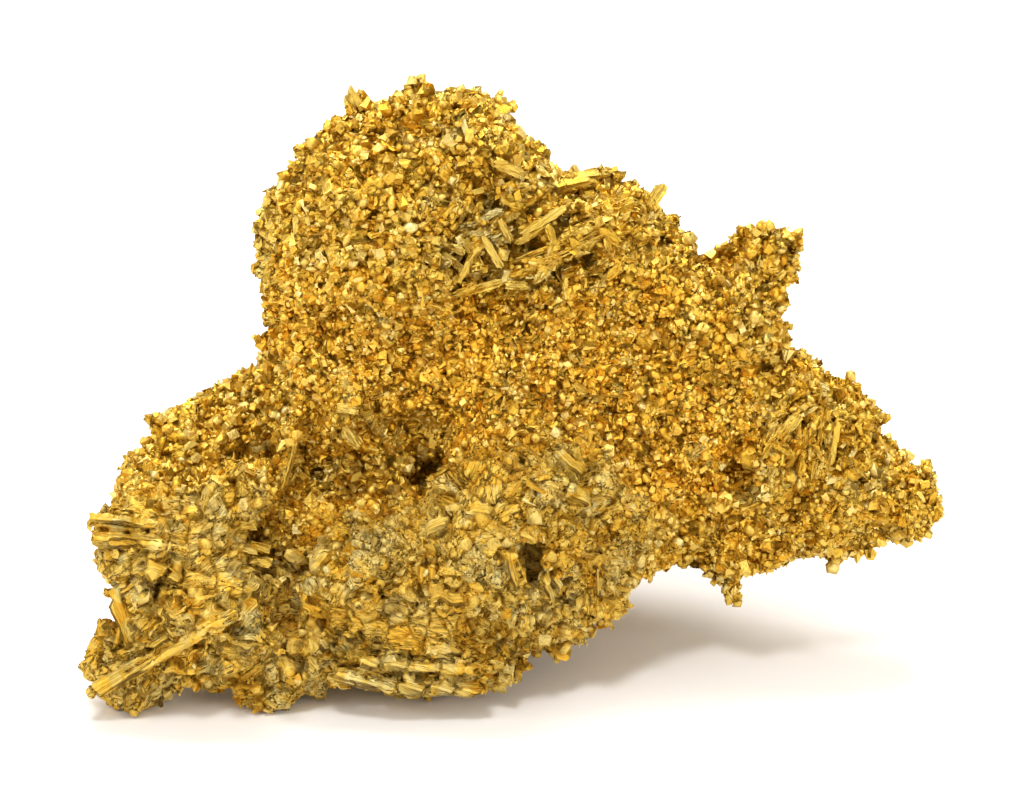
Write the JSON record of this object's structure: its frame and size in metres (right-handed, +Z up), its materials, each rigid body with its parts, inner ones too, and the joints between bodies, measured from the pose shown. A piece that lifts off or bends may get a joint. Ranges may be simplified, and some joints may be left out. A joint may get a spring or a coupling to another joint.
{
  "type": "crystalline gold specimen",
  "caption": "Natural crystalline gold specimen: a craggy mass of small crystals and striated laths with a tall crown, a front shelf and a side arm, resting on its base.",
  "frame": {"origin": "on the resting plane, under the middle of the specimen's bounding box", "axes": "+Z up, +X along the long side towards the arm, -Y towards the front shelf"},
  "size_m": [0.1156, 0.0612, 0.0801],
  "materials": {
    "native_gold": "satin"
  },
  "bodies": {
    "root": {"gold_specimen": "native_gold"}
  },
  "joints": []
}
